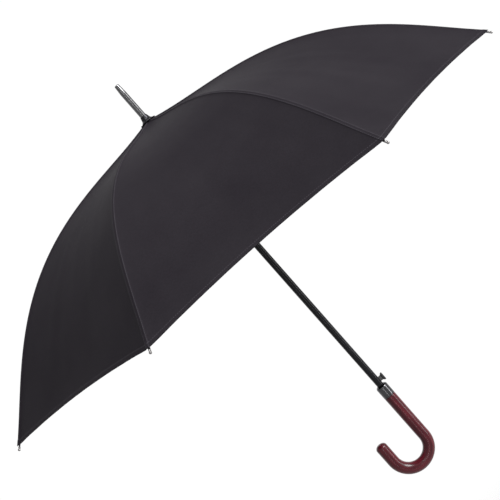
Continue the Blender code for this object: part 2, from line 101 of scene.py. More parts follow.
def plain_cloth(t, across):
    """Points of a gore in its rib's frame (rib on +X, next rib at +45 degrees)."""
    middle = 4 * across * (1 - across)
    share = t * (1 - HEM_CUT * middle * t ** 3)
    r = np.interp(share, STATIONS, OUT)
    z = CROWN_Z - np.interp(share, STATIONS, DOWN)
    angle = np.polyval(SLOPE_CUBIC, share)
    x = r * ((1 - across) + across * math.cos(STEP))
    y = r * across * math.sin(STEP)
    hang = SAG * middle * np.sin(math.pi * np.minimum(t, 0.999) ** 1.2) ** 0.6
    x = x - np.sin(angle) * math.cos(STEP / 2) * hang
    y = y - np.sin(angle) * math.sin(STEP / 2) * hang
    z = z - np.cos(angle) * hang
    return np.stack([x, y, z], -1)


def cloth_normals(t, across):
    """Outward normals of the plain surface, by small differences."""
    d = 0.0008
    low, high = np.maximum(across - d, 0), across + d
    along = plain_cloth(np.minimum(t + d, 1), across) - plain_cloth(np.maximum(t - d, 0.002), across)
    side = plain_cloth(t, high) - plain_cloth(t, low)
    normal = np.cross(along, side)
    return normal / np.linalg.norm(normal, axis=-1, keepdims=True)


SEAM_HALF = 0.0032
SEAM_RISE = 0.0013
GROOVE_DEPTH = 0.0006            # along the stitched middle of a seam
HEM_WIDTH = 0.009
HEM_RISE = 0.00035
PULL_RISE = 0.00030              # shallow pull lines across a stretched gore
TIP_PUCKER = 0.0006              # gathers where the cloth is sewn to a rib's tip


def relief(t, across, gore):
    """Height of seam, hem and pull lines above the plain surface, in metres."""
    r = np.interp(t, STATIONS, OUT)
    chord = 2 * r * math.sin(STEP / 2)
    from_rib = np.minimum(across, 1 - across) * chord
    from_hem = (1 - t) * CLOTH_LENGTH
    seam = SEAM_RISE * (1 - smooth_step(from_rib, SEAM_HALF * 0.75, SEAM_HALF * 1.3))
    groove = -GROOVE_DEPTH * (1 - smooth_step(from_rib, 0.0002, 0.0011))
    hem = HEM_RISE * (1 - smooth_step(from_hem, HEM_WIDTH * 0.85, HEM_WIDTH * 1.1))
    middle = 4 * across * (1 - across)
    swing = np.sin(across * 34 + 1.7 * gore + 5 * t) + 0.6 * np.sin(across * 57 - 2.3 * gore)
    taut = smooth_step(t, 0.30, 0.80) * (1 - 0.8 * smooth_step(t, 0.8, 1)) * middle ** 0.5
    pull = PULL_RISE * swing * taut
    gather = np.sin(from_rib * 420 + gore) * np.exp(-from_rib / 0.03)
    near_tip = TIP_PUCKER * gather * smooth_step(t, 0.7, 1)
    return seam + groove + hem + pull + near_tip * smooth_step(from_rib, 0.002, 0.006)


def column_shares(t, columns=16):
    """Positions across half a gore: fixed steps by the seam, even ones beyond."""
    near = np.array([0, 0.0005, 0.0011, 0.0024, 0.0030, 0.0042])
    half = np.interp(t, STATIONS, OUT) * math.sin(STEP / 2)
    scale = np.minimum(1, half / 0.014)[:, None]
    first = near[None, :] * scale
    rest = np.linspace(0, 1, columns + 1)[1:][None, :]
    far = first[:, -1:] + (half[:, None] - first[:, -1:]) * rest
    return 0.5 * np.concatenate([first, far], 1) / half[:, None]


def split_share(across):
    """Where the line through the clip, square to the rib's plane, crosses the cloth."""
    t = np.linspace(0.3, 0.8, 400)
    x = plain_cloth(t[:, None], across[None, :])[..., 0]
    return np.array([np.interp(CLIP[0], x[:, k], t) for k in range(len(across))])


def mirrored(points):
    return points * np.array((1, -1, 1))


def shell_mesh(name, outer, normals, uv, flip):
    """A closed thin sheet from a grid of outer points, with the grid's own normals."""
    rows, columns = outer.shape[:2]
    inner = outer - normals * CLOTH
    count = rows * columns
    points = np.concatenate([outer.reshape(-1, 3), inner.reshape(-1, 3)])

    def index(i, k, side):
        return side * count + i * columns + k

    faces = []
    for i in range(rows - 1):
        for k in range(columns - 1):
            quad = [index(i, k, 0), index(i + 1, k, 0), index(i + 1, k + 1, 0), index(i, k + 1, 0)]
            faces.append(quad)
            faces.append([v + count for v in reversed(quad)])
    border = [(0, k) for k in range(columns)] + [(i, columns - 1) for i in range(1, rows)]
    border += [(rows - 1, k) for k in range(columns - 2, -1, -1)]
    border += [(i, 0) for i in range(rows - 2, 0, -1)]
    for (i, k), (j, m) in zip(border, border[1:] + border[:1]):
        faces.append([index(i, k, 0), index(j, m, 0), index(j, m, 1), index(i, k, 1)])
    if flip:
        faces = [face[::-1] for face in faces]
    mesh = bpy.data.meshes.new(name)
    mesh.from_pydata(points.tolist(), [], faces)
    layer = mesh.uv_layers.new(name="cloth")
    flat = np.concatenate([uv.reshape(-1, 2), uv.reshape(-1, 2)])
    corners = np.zeros(len(mesh.loops), np.int32)
    mesh.loops.foreach_get("vertex_index", corners)
    layer.data.foreach_set("uv", flat[corners].astype(np.float32).ravel())
    mesh.shade_smooth()
    every = np.concatenate([normals.reshape(-1, 3), -normals.reshape(-1, 3)])
    mesh.normals_split_custom_set_from_vertices(every.tolist())
    mesh.validate()
    return mesh


def new_piece(name, mesh, mat):
    obj = bpy.data.objects.new(name, mesh)
    bpy.context.scene.collection.objects.link(obj)
    mesh.materials.clear()
    mesh.materials.append(mat)
    return obj


LAP_ROWS = (-0.030, -0.010, -0.0008)   # the outer cloth runs on under the inner by these shares
LAP_GAP = 0.0004
HEM_ROWS = (0.9828, 0.9872)      # rows on both sides of the hem's inner edge


def half_gore(rib, side, part, mat):
    """Half of a gore, from a rib to the gore's middle, above or beyond the stretcher's clip."""
    guide = np.linspace(0, 0.5, 60)
    cut = split_share(guide)
    start = float(np.interp(CLOTH_HOLE, OUT, STATIONS))
    steps = np.linspace(0, 1, 31)
    base = np.full(len(steps) + (len(LAP_ROWS) if part == "outer" else 0), 0.5)
    for _ in range(3):
        shares = column_shares(base)
        edge = np.interp(shares, guide, cut)
        if part == "inner":
            t = start + (edge - start) * steps[:, None]
        else:
            lap = edge[:len(LAP_ROWS)] + np.array(LAP_ROWS)[:, None]
            run = edge[len(LAP_ROWS):]
            t = np.concatenate([lap, run + (1 - run) * steps[:, None]])
            for row, place in zip((-3, -2), HEM_ROWS):
                t[row] = place
        base = t.mean(1)
    gore = (rib if side > 0 else rib - 1) % RIBS
    normals = cloth_normals(t, shares)
    outer = plain_cloth(t, shares) + normals * relief(t, shares, gore)[..., None]
    bent = surface_normals(outer, normals)
    if part == "outer":
        tuck = 1 - smooth_step(t, edge + LAP_ROWS[1] + 0.0001, edge + LAP_ROWS[2] - 0.0001)
        outer = outer - normals * (tuck * (CLOTH + LAP_GAP))[..., None]
    outer[:, 0, 1] = 0           # both halves meet in the rib's plane, under the seam
    chord = 2 * np.interp(t, STATIONS, OUT) * math.sin(STEP / 2)
    uv = np.stack([shares * chord * side, t * CLOTH_LENGTH], -1)
    if side < 0:
        outer, bent = mirrored(outer), mirrored(bent)
    name = f"cloth_{rib + 1}_{'right' if side > 0 else 'left'}_{part}"
    mesh = shell_mesh(name, outer, bent, uv, side < 0)
    azimuth = STEP * (rib + 0.5)
    mesh.transform(Matrix.Rotation(azimuth, 4, "Z"))
    obj = new_piece(name, mesh, mat)
    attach(obj, f"rib_{part}_{rib + 1}")
    fold_cloth(obj)
    return obj


def surface_normals(grid, guide):
    """Normals of the raised grid, held to the plain surface's normals at its borders."""
    along = np.gradient(grid, axis=0)
    side = np.gradient(grid, axis=1)
    normal = np.cross(along, side)
    normal /= np.linalg.norm(normal, axis=-1, keepdims=True) + 1e-12
    normal[:, -1] = guide[:, -1]
    return normal


def fold_cloth(obj):
    """Give the half gore a mesh of its own; the cloth is not flattened or folded here."""
    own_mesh(obj)


# ---- turned and swept shapes -----------------------------------------------------------------
def turned_mesh(name, outline, sides=64, sharp=35):
    """Turn a closed or axis-to-axis outline of (radius, height), outer side downwards."""
    bm = bmesh.new()
    rings = []
    for r, z in outline:
        if r < 1e-7:
            rings.append([bm.verts.new((0, 0, z))])
            continue
        ring = []
        for k in range(sides):
            turn = 2 * math.pi * k / sides
            ring.append(bm.verts.new((r * math.cos(turn), r * math.sin(turn), z)))
        rings.append(ring)
    closed = outline[0][0] > 1e-7
    pairs = list(zip(rings, rings[1:])) + ([(rings[-1], rings[0])] if closed else [])
    for upper, lower in pairs:
        for k in range(sides):
            m = (k + 1) % sides
            if len(upper) == 1:
                bm.faces.new((upper[0], lower[k], lower[m]))
            elif len(lower) == 1:
                bm.faces.new((upper[k], lower[0], upper[m]))
            else:
                bm.faces.new((upper[k], lower[k], lower[m], upper[m]))
    bmesh.ops.recalc_face_normals(bm, faces=bm.faces)
    mesh = bpy.data.meshes.new(name)
    bm.to_mesh(mesh)
    bm.free()
    mesh.shade_smooth()
    mesh.set_sharp_from_angle(angle=math.radians(sharp))
    return mesh


def rounded(points, radius, steps=4):
    """An outline whose corners are rounded; each point is (r, z) or (r, z, own radius)."""
    made = []
    count = len(points)
    for i, point in enumerate(points):
        here = Vector(point[:2])
        size = point[2] if len(point) > 2 else radius
        before = Vector(points[i - 1][:2]) - here
        after = Vector(points[(i + 1) % count][:2]) - here
        reach = min(size, before.length * 0.45, after.length * 0.45)
        if reach < 1e-6 or here.x < 1e-7:
            made.append((here.x, here.y))
            continue
        a, b = here + before.normalized() * reach, here + after.normalized() * reach
        for k in range(steps + 1):
            s = k / steps
            spot = a * (1 - s) ** 2 + here * 2 * s * (1 - s) + b * s * s
            made.append((spot.x, spot.y))
    return made


def swept_mesh(name, centres, across, radii, sides=40):
    """A round bar through centres; across is a direction square to every stretch of it."""
    bm = bmesh.new()
    layer = bm.loops.layers.uv.new("bar")
    rings = []
    distance, marks = 0.0, []
    for i, centre in enumerate(centres):
        ahead = centres[min(i + 1, len(centres) - 1)] - centres[max(i - 1, 0)]
        side = across.normalized()
        up = ahead.normalized().cross(side)
        if i:
            distance += (centre - centres[i - 1]).length
        marks.append(distance)
        rings.append([bm.verts.new(centre + radii[i] * (math.cos(2 * math.pi * k / sides) * side
                                                        + math.sin(2 * math.pi * k / sides) * up))
                      for k in range(sides)])
    for i in range(len(rings) - 1):
        for k in range(sides):
            m = (k + 1) % sides
            face = bm.faces.new((rings[i][k], rings[i][m], rings[i + 1][m], rings[i + 1][k]))
            for loop, (u, v) in zip(face.loops, ((k, i), (k + 1, i), (k + 1, i + 1), (k, i + 1))):
                loop[layer].uv = (u / sides, marks[v])
    for ring in (rings[0], rings[-1]):
        bm.faces.new(ring)
    bmesh.ops.recalc_face_normals(bm, faces=bm.faces)
    mesh = bpy.data.meshes.new(name)
    bm.to_mesh(mesh)
    bm.free()
    mesh.shade_smooth()
    mesh.set_sharp_from_angle(angle=math.radians(50))
    return mesh


# ---- materials -------------------------------------------------------------------------------
class Nodes:
    """A material's node tree with short helpers."""

    def __init__(self, name):
        self.mat = bpy.data.materials.new(name)
        self.mat.use_nodes = True
        self.tree = self.mat.node_tree
        self.shader = self.tree.nodes["Principled BSDF"]

    def add(self, kind, inputs=None, **settings):
        node = self.tree.nodes.new(kind)
        for key, value in settings.items():
            setattr(node, key, value)
        for key, value in (inputs or {}).items():
            self.put(node.inputs[key], value)
        return node

    def put(self, socket, value):
        if isinstance(value, bpy.types.NodeSocket):
            self.tree.links.new(value, socket)
        else:
            socket.default_value = value

    def maths(self, operation, a, b=0.0, c=0.0):
        node = self.add("ShaderNodeMath", operation=operation)
        for socket, value in zip(node.inputs, (a, b, c)):
            self.put(socket, value)
        return node.outputs[0]

    def noise(self, vector, scale, detail=3.0, roughness=0.5):
        node = self.add("ShaderNodeTexNoise", {"Scale": scale, "Detail": detail, "Roughness": roughness})
        if vector is not None:
            self.put(node.inputs["Vector"], vector)
        return node.outputs["Fac"]

    def ramp(self, factor, low, high, first, last):
        """first below low, last above high, and a mix between them."""
        node = self.add("ShaderNodeValToRGB")
        node.color_ramp.elements[0].position = low
        node.color_ramp.elements[0].color = (*first, 1)
        node.color_ramp.elements[1].position = high
        node.color_ramp.elements[1].color = (*last, 1)
        self.put(node.inputs["Fac"], factor)
        return node.outputs["Color"]

    def band(self, value, low, high, bottom, top):
        node = self.add("ShaderNodeMapRange")
        for key, number in (("From Min", low), ("From Max", high), ("To Min", bottom), ("To Max", top)):
            node.inputs[key].default_value = number
        self.put(node.inputs["Value"], value)
        return node.outputs["Result"]

    def bump(self, height, distance, strength=1.0, below=None):
        node = self.add("ShaderNodeBump", {"Height": height, "Distance": distance, "Strength": strength})
        if below is not None:
            self.put(node.inputs["Normal"], below)
        return node.outputs["Normal"]

    def set(self, **values):
        for key, value in values.items():
            self.put(self.shader.inputs[key.replace("_", " ")], value)
        return self.mat


def object_space(n, stretch=(1, 1, 1)):
    place = n.add("ShaderNodeTexCoord").outputs["Object"]
    return n.add("ShaderNodeMapping", {"Vector": place, "Scale": stretch}).outputs["Vector"]


THREAD = 0.00045                 # pitch of the weave
STITCH = 0.0032
STITCH_HALF = 0.00035
STITCH_ROW = 0.0021              # from the rib to the row of stitches beside it
HEM_STITCH = 0.0075              # from the hem's edge to its row of stitches


def cloth_material(name, shade=1.0):
    """Matt charcoal woven polyester: a fine plain weave, with stitched seams and hems."""
    n = Nodes(name)
    uv = n.add("ShaderNodeUVMap", uv_map="cloth").outputs["UV"]
    parts = n.add("ShaderNodeSeparateXYZ", {"Vector": uv})
    u, v = parts.outputs["X"], parts.outputs["Y"]
    thread = math.pi / THREAD
    weft = n.maths("SINE", n.maths("MULTIPLY", u, thread))
    warp = n.maths("SINE", n.maths("MULTIPLY", v, thread))
    weave = n.maths("MULTIPLY", weft, warp)
    from_rib = n.maths("ABSOLUTE", u)
    pitch = 2 * math.pi / STITCH
    beside = n.maths("ABSOLUTE", n.maths("SUBTRACT", from_rib, STITCH_ROW))
    row = n.maths("LESS_THAN", beside, STITCH_HALF)
    dash = n.maths("GREATER_THAN", n.maths("SINE", n.maths("MULTIPLY", v, pitch)), -0.35)
    stitch = n.maths("MULTIPLY", row, dash)
    above = n.maths("ABSOLUTE", n.maths("SUBTRACT", v, CLOTH_LENGTH - HEM_STITCH))
    hem_row = n.maths("LESS_THAN", above, STITCH_HALF)
    hem_dash = n.maths("GREATER_THAN", n.maths("SINE", n.maths("MULTIPLY", u, pitch)), -0.35)
    stitch = n.maths("MAXIMUM", stitch, n.maths("MULTIPLY", hem_row, hem_dash))
    mottle = n.noise(object_space(n), 9.0, 4.0, 0.6)
    slub = n.noise(object_space(n, (1, 1, 1)), 420.0, 2.0, 0.5)
    base = n.ramp(mottle, 0.3, 0.7, (0.0140, 0.0120, 0.0152), (0.0176, 0.0154, 0.0188))
    tone = n.band(slub, 0.3, 0.7, 0.90 * shade, 1.10 * shade)
    hue = n.add("ShaderNodeHueSaturation", {"Color": base, "Value": tone})
    mix = n.add("ShaderNodeMixRGB")
    n.put(mix.inputs["Fac"], stitch)
    n.put(mix.inputs["Color1"], hue.outputs["Color"])
    mix.inputs["Color2"].default_value = (0.052, 0.048, 0.056, 1)
    rough = n.band(slub, 0.2, 0.8, 0.56, 0.70)
    height = n.maths("ADD", n.maths("MULTIPLY", weave, 0.35), n.maths("MULTIPLY", stitch, 1.6))
    normal = n.bump(height, 0.00012, 0.35)
    normal = n.bump(n.noise(object_space(n), 38.0, 3.0, 0.55), 0.0006, 0.25, normal)
    n.shader.inputs["Specular IOR Level"].default_value = 0.025
    return n.set(Base_Color=mix.outputs["Color"], Roughness=rough, Normal=normal)


def metal_material(name, colour, dark, rough_low, rough_high, scratch=0.00003):
    """Plated metal with faint wear: cloudy tone and, on the rougher ones, fine drawn scratches."""
    n = Nodes(name)
    cloud = n.noise(object_space(n), 60.0, 4.0, 0.6)
    base = n.ramp(cloud, 0.35, 0.75, dark, colour)
    n.shader.inputs["Metallic"].default_value = 1.0
    n.set(Base_Color=base, Roughness=n.band(cloud, 0.3, 0.8, rough_low, rough_high))
    if scratch:
        lines = n.noise(object_space(n, (1, 1, 0.05)), 900.0, 2.0, 0.5)
        n.set(Normal=n.bump(lines, scratch, 0.4))
    return n.mat


def lacquer_material(name, colour, rough=(0.18, 0.28)):
    """Black lacquer on a steel tube, with faint handling marks."""
    n = Nodes(name)
    marks = n.noise(object_space(n, (1, 1, 0.25)), 130.0, 4.0, 0.65)
    base = n.ramp(marks, 0.4, 0.8, colour, tuple(c * 1.6 + 0.002 for c in colour))
    n.shader.inputs["Specular IOR Level"].default_value = 0.2
    return n.set(Base_Color=base, Roughness=n.band(marks, 0.3, 0.8, *rough),
                 Normal=n.bump(marks, 0.00002, 0.2))


def plastic_material(name, colour, grain=0.00005, rough=(0.30, 0.42)):
    """Moulded plastic with a fine spark-eroded grain."""
    n = Nodes(name)
    fine = n.noise(object_space(n), 1400.0, 2.0, 0.5)
    cloud = n.noise(object_space(n), 90.0, 3.0, 0.5)
    base = n.ramp(cloud, 0.3, 0.8, colour, tuple(c * 1.35 + 0.001 for c in colour))
    return n.set(Base_Color=base, Roughness=n.band(cloud, 0.3, 0.7, *rough),
                 Normal=n.bump(fine, grain, 0.5))


BAR_R = 0.0105                   # radius of the handle's bar


def wood_material():
    """Dark red mahogany under clear lacquer, its grain along the bent bar."""
    n = Nodes("mahogany")
    uv = n.add("ShaderNodeUVMap", uv_map="bar").outputs["UV"]
    parts = n.add("ShaderNodeSeparateXYZ", {"Vector": uv})
    turn = n.maths("MULTIPLY", parts.outputs["X"], 2 * math.pi)
    round_x = n.maths("MULTIPLY", n.maths("COSINE", turn), BAR_R)
    round_y = n.maths("MULTIPLY", n.maths("SINE", turn), BAR_R)
    along = n.maths("MULTIPLY", parts.outputs["Y"], 0.10)
    place = n.add("ShaderNodeCombineXYZ", {"X": round_x, "Y": round_y, "Z": along}).outputs["Vector"]
    bands = n.noise(place, 260.0, 5.0, 0.62)
    pores = n.noise(place, 1500.0, 2.0, 0.5)
    base = n.ramp(bands, 0.34, 0.68, (0.034, 0.0028, 0.0062), (0.098, 0.0085, 0.0150))
    dark = n.ramp(pores, 0.56, 0.66, (1, 1, 1), (0.55, 0.50, 0.50))
    mix = n.add("ShaderNodeMixRGB", {"Fac": 0.8}, blend_type="MULTIPLY")
    n.put(mix.inputs["Color1"], base)
    n.put(mix.inputs["Color2"], dark)
    n.shader.inputs["Coat Weight"].default_value = 0.8
    n.shader.inputs["Coat Roughness"].default_value = 0.22
    n.shader.inputs["Coat IOR"].default_value = 1.36
    n.shader.inputs["Specular IOR Level"].default_value = 0.1
    return n.set(Base_Color=mix.outputs["Color"], Roughness=n.band(bands, 0.3, 0.7, 0.30, 0.42),
                 Normal=n.bump(bands, 0.00005, 0.35))


# ---- canopy ----------------------------------------------------------------------------------
def make_canopy(mat):
    for rib in range(RIBS):
        for side in (1, -1):
            for part in ("inner", "outer"):
                half_gore(rib, side, part, mat)
        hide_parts(f"gore_{rib + 1}")


# ---- shaft and crown ---------------------------------------------------------------------------
def box_of(node):
    low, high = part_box(node)
    return Vector(low), Vector(high)


SHAFT_WALL = 0.0008
WINDOW = (0.012, 0.0046, 0.0094)   # the button's slot in the shaft


def make_shaft(mat):
    low, high = box_of("shaft_tube")
    r = high.x
    bore = r - SHAFT_WALL
    outline = rounded([(r, high.z), (r, low.z), (bore, low.z), (bore, high.z)], 0.0002, 2)
    obj = new_piece("shaft", turned_mesh("shaft", outline), mat)
    button_low, button_high = box_of("button")
    window = bpy.data.objects.new("window", bpy.data.meshes.new("window"))
    bm = bmesh.new()
    middle = (button_low.z + button_high.z) / 2
    size = Matrix.Diagonal((*WINDOW, 1))
    place = Matrix.Translation((WINDOW[0] / 2, 0, middle))
    bmesh.ops.create_cube(bm, size=1, matrix=place @ size)
    bm.to_mesh(window.data)
    bm.free()
    bpy.context.scene.collection.objects.link(window)
    mod = obj.modifiers.new("window", "BOOLEAN")
    mod.object = window
    mod.operation = "DIFFERENCE"
    bpy.context.view_layer.update()
    cut = bpy.data.meshes.new_from_object(obj.evaluated_get(bpy.context.evaluated_depsgraph_get()))
    obj.modifiers.clear()
    obj.data = cut
    cut.shade_smooth()
    cut.set_sharp_from_angle(angle=math.radians(35))
    bpy.data.objects.remove(window, do_unlink=True)
    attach(obj, "shaft")
    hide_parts("shaft_tube")


def make_ferrule(mat):
    """The metal spike above the crown, with a spigot down into the shaft."""
    low, high = box_of("ferrule")
    r, top = high.x, high.z
    tip, spigot = 0.0043, 0.0049
    base = CROWN_Z + 0.0013
    outline = [(0, top, 0), (tip - 0.0010, top, 0.0003), (tip, top - 0.0010, 0.0006),
               (tip + 0.0002, top - 0.0060), (r - 0.0001, top - 0.017, 0.004), (r, base),
               (spigot, base), (spigot, low.z), (0, low.z, 0)]
    mesh = turned_mesh("ferrule_spike", rounded(outline, 0.0003), 72, 30)
    obj = new_piece("ferrule_spike", mesh, mat)
    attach(obj, "shaft")
    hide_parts("ferrule")


def cloth_height(radius):
    return CROWN_Z - float(np.interp(radius, OUT, DOWN))


def make_crown(cap_mat, cloth_mat):
    """The grey cone that closes the crown, above its cloth rosette."""
    low, high = box_of("crown_cap")
    bore = 0.0063
    lift = 0.0018
    r = high.x
    foot = cloth_height(r) + lift
    outline = [(0.0064, high.z, 0.0003), (0.0066, high.z - 0.0016, 0.0008),
               (r - 0.0030, foot + 0.0036, 0.002),
               (r - 0.0004, foot + 0.0012, 0.0006), (r, foot, 0.0002),
               (bore, cloth_height(bore) + lift, 0.0001), (bore, CROWN_Z + 0.0014, 0.0001),
               (0.0058, CROWN_Z + 0.0020, 0.0001), (0.0058, high.z, 0.0002)]
    mesh = turned_mesh("crown_cone", rounded(outline, 0.0003), 72, 30)
    obj = new_piece("crown_cone", mesh, cap_mat)
    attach(obj, "shaft")
    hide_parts("crown_cap")
    make_rosette(cloth_mat)


ROSETTE_HOLE = 0.0064


def make_rosette(mat):
    """A pinked disc of cloth, slightly wavy, lying on the crown."""
    low, high = box_of("rosette")
    r = high.x
    turns, rings = 144, 9
    bm = bmesh.new()
    layer = bm.loops.layers.uv.new("cloth")
    grid = []
    for j in range(rings):
        share = j / (rings - 1)
        ring = []
        for k in range(turns):
            angle = 2 * math.pi * k / turns
            tooth = (0.0006 if k % 4 in (1, 2) else 0) if j == rings - 1 else 0
            radius = ROSETTE_HOLE + (r - tooth - ROSETTE_HOLE) * share
            wave = 0.00030 * share ** 2 * math.sin(angle * 8 + 0.6)
            wave += 0.00012 * share * math.sin(angle * 19)
            z = cloth_height(radius) + 0.0011 + 0.0011 * share ** 3 + wave
            ring.append(bm.verts.new((radius * math.cos(angle), radius * math.sin(angle), z)))
        grid.append(ring)
    for inner, outer in zip(grid, grid[1:]):
        for k in range(turns):
            m = (k + 1) % turns
            face = bm.faces.new((inner[k], outer[k], outer[m], inner[m]))
            for loop in face.loops:
                loop[layer].uv = (loop.vert.co.x + 0.1, loop.vert.co.y + 0.1)
    mesh = bpy.data.meshes.new("crown_rosette")
    bm.to_mesh(mesh)
    bm.free()
    mesh.shade_smooth()
    obj = new_piece("crown_rosette", mesh, mat)
    mod = obj.modifiers.new("thickness", "SOLIDIFY")
    mod.thickness = 0.0010
    mod.offset = 0
    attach(obj, "shaft")
    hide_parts("rosette")


# ---- handle, collar and button --------------------------------------------------------------------
def make_handle(mat):
    """The crook: a round bar that runs down from the collar and bends back to a domed end."""
    low, high = box_of("handle")
    bar = high.x
    crook = (high.x - low.x - 2 * bar) / 2
    bend_z = low.z + bar + crook
    top = high.z
    end = -0.0066
    centres, radii = [], []
    for z, r in ((top, bar - 0.0009), (top - 0.0002, bar - 0.0003), (top - 0.0009, bar)):
        centres.append(Vector((0, 0, z)))
        radii.append(r)
    for k in range(1, 13):
        centres.append(Vector((0, 0, top - 0.0009 + (bend_z - top + 0.0009) * k / 12)))
        radii.append(bar)
    for k in range(1, 65):
        turn = math.pi * k / 64
        centres.append(Vector((-crook + crook * math.cos(turn), 0, bend_z - crook * math.sin(turn))))
        radii.append(bar)
    dome = 0.0075
    for k in range(1, 9):
        centres.append(Vector((-2 * crook, 0, bend_z + (end - dome - bend_z) * k / 8)))
        radii.append(bar)
    for k in range(1, 15):
        turn = math.radians(86) * k / 14
        centres.append(Vector((-2 * crook, 0, end - dome + dome * math.sin(turn))))
        radii.append(bar * math.cos(turn) ** 0.85)
    mesh = swept_mesh("crook_handle", centres, Vector((0, 1, 0)), radii, 56)
    obj = new_piece("crook_handle", mesh, mat)
    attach(obj, "shaft")
    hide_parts("handle")


def make_collar(mat):
    """The metal collar between shaft and handle, with a turned groove by its foot."""
    low, high = box_of("collar")
    r = high.x
    bore, groove = 0.0063, 0.0003
    outline = [(0.0070, high.z, 0.0002), (r - 0.0026, high.z, 0.0008), (r, high.z - 0.0024, 0.0012),
               (r, low.z + 0.0020, 0.0002), (r - groove, low.z + 0.0018, 0.0001),
               (r - groove, low.z + 0.0012, 0.0001), (r, low.z + 0.0010, 0.0002),
               (r - 0.0002, low.z, 0.0002), (bore, low.z, 0.0001), (bore, high.z - 0.0006, 0.0002)]
    mesh = turned_mesh("metal_collar", rounded(outline, 0.0003), 72, 30)
    obj = new_piece("metal_collar", mesh, mat)
    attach(obj, "shaft")
    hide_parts("collar")


def make_button(mat):
    """The push button: a stem, a flared underside and a softly rounded oblong face."""
    low, high = box_of("button")
    face, middle = high.x, (low.z + high.z) / 2
    half_l, half_w = (high.z - low.z) / 2, high.y
    neck_l, neck_w = 0.0044, 0.0020
    rows = [(low.x, neck_l, neck_w), (0.0096, neck_l, neck_w), (0.0103, neck_l + 0.0003, neck_w + 0.0001),
            (face - 0.0027, half_l - 0.0003, half_w - 0.0002), (face - 0.0021, half_l, half_w),
            (face - 0.0008, half_l, half_w), (face - 0.0003, half_l - 0.0003, half_w - 0.0003),
            (face - 0.00005, half_l - 0.0009, half_w - 0.0009), (face, half_l - 0.0022, half_w - 0.0018)]
    sides = 48
    bm = bmesh.new()
    rings = []
    for x, l, w in rows:
        ring = []
        for k in range(sides):
            turn = 2 * math.pi * (k + 0.5) / sides
            c, s = math.cos(turn), math.sin(turn)
            y = w * math.copysign(abs(c) ** 0.4, c)
            z = middle + l * math.copysign(abs(s) ** 0.4, s)
            ring.append(bm.verts.new((x, y, z)))
        rings.append(ring)
    for a, b in zip(rings, rings[1:]):
        for k in range(sides):
            bm.faces.new((a[k], a[(k + 1) % sides], b[(k + 1) % sides], b[k]))
    bm.faces.new(rings[0])
    bm.faces.new(rings[-1])
    bmesh.ops.recalc_face_normals(bm, faces=bm.faces)
    mesh = bpy.data.meshes.new("push_button")
    bm.to_mesh(mesh)
    bm.free()
    mesh.shade_smooth()
    mesh.set_sharp_from_angle(angle=math.radians(35))
    obj = new_piece("push_button", mesh, mat)
    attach(obj, "button")
    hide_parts("button")


# ---- mechanism ----------------------------------------------------------------------------------------
def coil_mesh(name, start, end, radius, wire, turns, sides=8, per_turn=20):
    """A helix of round wire from start to end, with a closed flat turn at each end."""
    axis = (end - start).normalized()
    side = axis.orthogonal().normalized()
    other = axis.cross(side)
    centres = []
    count = turns * per_turn
    for k in range(count + 1):
        share = k / count
        flat = 1.0 / turns
        lift = np.interp(share, (0, flat, 1 - flat, 1), (0, flat * 0.35, 1 - flat * 0.35, 1))
        turn = 2 * math.pi * k / per_turn
        round_axis = math.cos(turn) * side + math.sin(turn) * other
        centres.append(start + (end - start) * float(lift) + radius * round_axis)
    bm = bmesh.new()
    rings = []
    for i, centre in enumerate(centres):
        ahead = (centres[min(i + 1, count)] - centres[max(i - 1, 0)]).normalized()
        out = (centre - start) - axis * (centre - start).dot(axis)
        out = (out - ahead * out.dot(ahead)).normalized()
        up = ahead.cross(out)
        ring = []
        for k in range(sides):
            turn = 2 * math.pi * k / sides
            ring.append(bm.verts.new(centre + wire * (math.cos(turn) * out + math.sin(turn) * up)))
        rings.append(ring)
    for a, b in zip(rings, rings[1:]):
        for k in range(sides):
            bm.faces.new((a[k], a[(k + 1) % sides], b[(k + 1) % sides], b[k]))
    bm.faces.new(rings[0])
    bm.faces.new(rings[-1])
    bmesh.ops.recalc_face_normals(bm, faces=bm.faces)
    mesh = bpy.data.meshes.new(name)
    bm.to_mesh(mesh)
    bm.free()
    mesh.shade_smooth()
    mesh.set_sharp_from_angle(angle=math.radians(60))
    return mesh


def make_springs(mat):
    """The opening spring round the shaft, and the button's small spring inside it."""
    low, high = box_of("opening_spring")
    start, end = Vector((0, 0, high.z - 0.0005)), Vector((0, 0, low.z + 0.0005))
    mesh = coil_mesh("coil_spring", start, end, 0.0075, 0.0005, 26)
    obj = new_piece("coil_spring", mesh, mat)
    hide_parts("opening_spring")
    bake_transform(obj)
    low, high = box_of("button_spring")
    middle = (low.z + high.z) / 2
    start, end = Vector((low.x + 0.0003, 0, middle)), Vector((high.x - 0.0003, 0, middle))
    mesh = coil_mesh("button_coil", start, end, 0.0016, 0.00025, 6)
    obj = new_piece("button_coil", mesh, mat)
    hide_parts("button_spring")
    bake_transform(obj)


TIP_DROP = 0.0022                # a rib's end lies this far under the cloth's outer face


